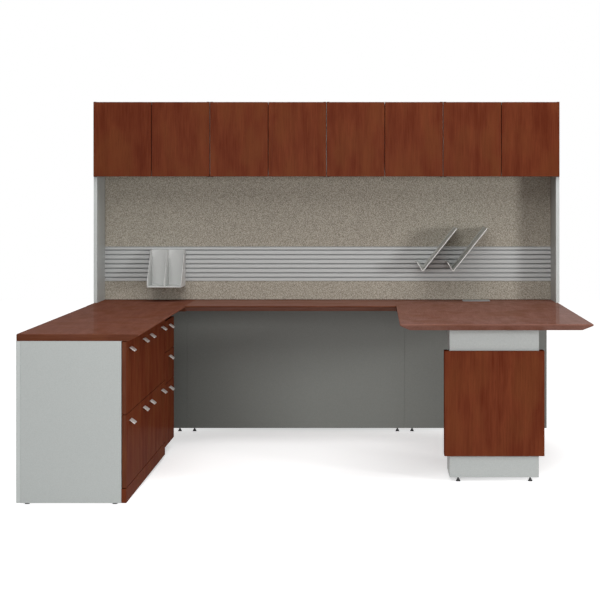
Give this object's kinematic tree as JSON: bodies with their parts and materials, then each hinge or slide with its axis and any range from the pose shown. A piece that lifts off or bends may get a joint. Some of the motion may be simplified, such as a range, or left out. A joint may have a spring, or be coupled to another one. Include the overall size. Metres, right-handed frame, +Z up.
{
  "type": "cubicle workstation",
  "caption": "U-shaped office workstation: worktops over lateral files and a pedestal, a bridge, a peninsula, overhead cupboards, tackboards and a slotted rail with hung accessories.",
  "frame": {"origin": "on the floor, under the middle of the whole workstation's bounding box", "axes": "+Y from the open front towards the back panels, +Z up, +X to the sitter's right when facing the back"},
  "size_m": [2.534, 2.638, 1.83],
  "materials": {
    "worktop_veneer": "cherry veneer with a clear gloss varnish",
    "front_veneer": "cherry veneer with a satin varnish",
    "grey_laminate": "particle board with a smooth pale grey laminate",
    "shade_laminate": "particle board with a smooth mid grey laminate",
    "drawer_board": "lacquered birch drawer board",
    "tack_fabric": "woven panel fabric over a soft board",
    "slat_metal": "extruded slats, satin silver",
    "accessory_silver": "sheet steel, silver grey powder coat",
    "accessory_grey": "sheet steel, light grey powder coat",
    "pull_metal": "satin nickel tone",
    "runner_steel": "bright zinc plated steel",
    "glide_plastic": "black moulded glides",
    "grommet_plastic": "grey moulded plastic"
  },
  "bodies": {
    "frame": {"left_worktop": "worktop_veneer", "bridge_worktop": "worktop_veneer", "peninsula_worktop": "worktop_veneer", "worktop_joint_plates": "runner_steel", "left_end_gable": "grey_laminate", "left_back_panel": "grey_laminate", "near_lateral_case": "grey_laminate", "far_lateral_case": "grey_laminate", "lateral_plinth": "front_veneer", "pedestal_case": "grey_laminate", "pedestal_base": "grey_laminate", "pedestal_spacers": "grey_laminate", "drawer_runners": "runner_steel", "left_rear_panel": "shade_laminate", "middle_rear_panel": "shade_laminate", "right_rear_panel": "shade_laminate", "hutch_left_gable": "grey_laminate", "hutch_right_gable": "grey_laminate", "overhead_case": "grey_laminate", "door_pivot_brackets": "runner_steel", "upper_tackboard": "tack_fabric", "slat_rail": "slat_metal", "lower_tackboard": "tack_fabric", "peninsula_base": "grey_laminate", "peninsula_front_cover": "front_veneer", "grommet_frame": "grommet_plastic", "glides": "glide_plastic"},
    "near_lower_drawer": {"near_lower_drawer_front": "front_veneer", "near_lower_drawer_box": "drawer_board", "near_lower_drawer_pulls": "pull_metal"},
    "near_upper_drawer": {"near_upper_drawer_front": "front_veneer", "near_upper_drawer_box": "drawer_board", "near_upper_drawer_pulls": "pull_metal"},
    "far_lower_drawer": {"far_lower_drawer_front": "front_veneer", "far_lower_drawer_box": "drawer_board", "far_lower_drawer_pulls": "pull_metal"},
    "far_upper_drawer": {"far_upper_drawer_front": "front_veneer", "far_upper_drawer_box": "drawer_board", "far_upper_drawer_pulls": "pull_metal"},
    "pedestal_file_drawer": {"pedestal_file_drawer_front": "front_veneer", "pedestal_file_drawer_box": "drawer_board", "pedestal_file_drawer_pull": "pull_metal"},
    "pedestal_middle_drawer": {"pedestal_middle_drawer_front": "front_veneer", "pedestal_middle_drawer_box": "drawer_board", "pedestal_middle_drawer_pull": "pull_metal"},
    "pedestal_top_drawer": {"pedestal_top_drawer_front": "front_veneer", "pedestal_top_drawer_box": "drawer_board", "pedestal_top_drawer_pull": "pull_metal"},
    "overhead_door_1_leaf": {"overhead_door_1": "front_veneer"},
    "overhead_door_2_leaf": {"overhead_door_2": "front_veneer"},
    "overhead_door_3_leaf": {"overhead_door_3": "front_veneer"},
    "overhead_door_4_leaf": {"overhead_door_4": "front_veneer"},
    "overhead_door_5_leaf": {"overhead_door_5": "front_veneer"},
    "overhead_door_6_leaf": {"overhead_door_6": "front_veneer"},
    "overhead_door_7_leaf": {"overhead_door_7": "front_veneer"},
    "overhead_door_8_leaf": {"overhead_door_8": "front_veneer"},
    "grommet_cover": {"grommet_lid": "grommet_plastic"},
    "binder_holder_unit": {"binder_holder": "accessory_grey"},
    "left_paper_tray_unit": {"left_paper_tray": "accessory_silver"},
    "right_paper_tray_unit": {"right_paper_tray": "accessory_silver"}
  },
  "joints": [
    {"name": "near_lower_drawer_slide", "type": "slide", "parent": "frame", "child": "near_lower_drawer", "axis": [1, 0, 0], "range_m": [0, 0.38]},
    {"name": "near_upper_drawer_slide", "type": "slide", "parent": "frame", "child": "near_upper_drawer", "axis": [1, 0, 0], "range_m": [0, 0.38]},
    {"name": "far_lower_drawer_slide", "type": "slide", "parent": "frame", "child": "far_lower_drawer", "axis": [1, 0, 0], "range_m": [0, 0.38]},
    {"name": "far_upper_drawer_slide", "type": "slide", "parent": "frame", "child": "far_upper_drawer", "axis": [1, 0, 0], "range_m": [0, 0.38]},
    {"name": "pedestal_file_drawer_slide", "type": "slide", "parent": "frame", "child": "pedestal_file_drawer", "axis": [1, 0, 0], "range_m": [0, 0.38]},
    {"name": "pedestal_middle_drawer_slide", "type": "slide", "parent": "frame", "child": "pedestal_middle_drawer", "axis": [1, 0, 0], "range_m": [0, 0.38]},
    {"name": "pedestal_top_drawer_slide", "type": "slide", "parent": "frame", "child": "pedestal_top_drawer", "axis": [1, 0, 0], "range_m": [0, 0.38]},
    {"name": "overhead_door_1_hinge", "type": "hinge", "parent": "frame", "child": "overhead_door_1_leaf", "pos_m": [-1.2575, 0.972, 1.62575], "axis": [0, 0, -1], "range_deg": [0, 90]},
    {"name": "overhead_door_2_hinge", "type": "hinge", "parent": "frame", "child": "overhead_door_2_leaf", "pos_m": [-0.643, 0.972, 1.62575], "axis": [0, 0, 1], "range_deg": [0, 90]},
    {"name": "overhead_door_3_hinge", "type": "hinge", "parent": "frame", "child": "overhead_door_3_leaf", "pos_m": [-0.624, 0.972, 1.62575], "axis": [0, 0, -1], "range_deg": [0, 90]},
    {"name": "overhead_door_4_hinge", "type": "hinge", "parent": "frame", "child": "overhead_door_4_leaf", "pos_m": [-0.0095, 0.972, 1.62575], "axis": [0, 0, 1], "range_deg": [0, 90]},
    {"name": "overhead_door_5_hinge", "type": "hinge", "parent": "frame", "child": "overhead_door_5_leaf", "pos_m": [0.0095, 0.972, 1.62575], "axis": [0, 0, -1], "range_deg": [0, 90]},
    {"name": "overhead_door_6_hinge", "type": "hinge", "parent": "frame", "child": "overhead_door_6_leaf", "pos_m": [0.624, 0.972, 1.62575], "axis": [0, 0, 1], "range_deg": [0, 90]},
    {"name": "overhead_door_7_hinge", "type": "hinge", "parent": "frame", "child": "overhead_door_7_leaf", "pos_m": [0.643, 0.972, 1.62575], "axis": [0, 0, -1], "range_deg": [0, 90]},
    {"name": "overhead_door_8_hinge", "type": "hinge", "parent": "frame", "child": "overhead_door_8_leaf", "pos_m": [1.2575, 0.972, 1.62575], "axis": [0, 0, 1], "range_deg": [0, 90]},
    {"name": "grommet_lid_hinge", "type": "hinge", "parent": "frame", "child": "grommet_cover", "pos_m": [0.8245, 1.2376, 0.73855], "axis": [-1, 0, 0], "range_deg": [0, 100]},
    {"name": "binder_holder_slide", "type": "slide", "parent": "frame", "child": "binder_holder_unit", "axis": [1, 0, 0], "range_m": [-0.25, 0.6]},
    {"name": "left_paper_tray_slide", "type": "slide", "parent": "frame", "child": "left_paper_tray_unit", "axis": [1, 0, 0], "range_m": [-0.6, 0.035]},
    {"name": "right_paper_tray_slide", "type": "slide", "parent": "frame", "child": "right_paper_tray_unit", "axis": [1, 0, 0], "range_m": [-0.035, 0.36]}
  ]
}
